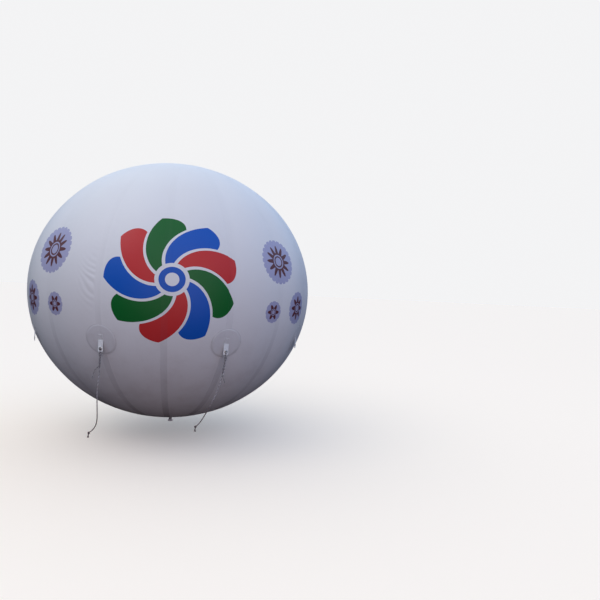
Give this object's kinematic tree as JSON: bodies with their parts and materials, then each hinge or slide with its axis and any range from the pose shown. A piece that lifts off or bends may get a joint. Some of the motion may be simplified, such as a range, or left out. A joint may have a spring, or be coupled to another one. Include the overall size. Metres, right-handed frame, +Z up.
{
  "type": "round advertising sky balloon",
  "caption": "Slightly flattened round sky balloon of welded gores, with pole caps, a tied inflation neck, and strap tabs with eyelets on round patches, some with short ropes.",
  "frame": {"origin": "the middle of the envelope, on its vertical axis, halfway between the poles", "axes": "+Z up through the poles, -Y towards the middle seam of the printed front"},
  "size_m": [3.0284, 3.0284, 2.9271],
  "materials": {
    "envelope": "white PVC film, semi-gloss, printed in flat colours",
    "patch": "white PVC film, welded over the gores",
    "strap": "white coated webbing",
    "eyelet": "nickelled brass, dulled outdoors",
    "rope": "laid rope, off-white and dusty"
  },
  "bodies": {
    "root": {"gore_01": "envelope", "gore_02": "envelope", "gore_03": "envelope", "gore_04": "envelope", "gore_05": "envelope", "gore_06": "envelope", "gore_07": "envelope", "gore_08": "envelope", "gore_09": "envelope", "gore_10": "envelope", "gore_11": "envelope", "gore_12": "envelope", "gore_13": "envelope", "gore_14": "envelope", "gore_15": "envelope", "gore_16": "envelope", "top_cap": "patch", "bottom_cap": "patch", "inflation_neck": "patch", "neck_tie": "rope", "patch_1": "patch", "patch_2": "patch", "patch_3": "patch", "patch_4": "patch", "patch_5": "patch", "patch_6": "patch", "patch_7": "patch", "patch_8": "patch", "tab_1": "strap", "tab_2": "strap", "tab_3": "strap", "tab_4": "strap", "tab_5": "strap", "tab_6": "strap", "tab_7": "strap", "tab_8": "strap", "eyelet_1": "eyelet", "eyelet_2": "eyelet", "eyelet_3": "eyelet", "eyelet_4": "eyelet", "eyelet_5": "eyelet", "eyelet_6": "eyelet", "eyelet_7": "eyelet", "eyelet_8": "eyelet", "hitch_1": "rope", "hitch_2": "rope", "hitch_3": "rope", "hitch_4": "rope", "rope_1": "rope", "rope_2": "rope", "rope_3": "rope", "rope_4": "rope"}
  },
  "joints": []
}
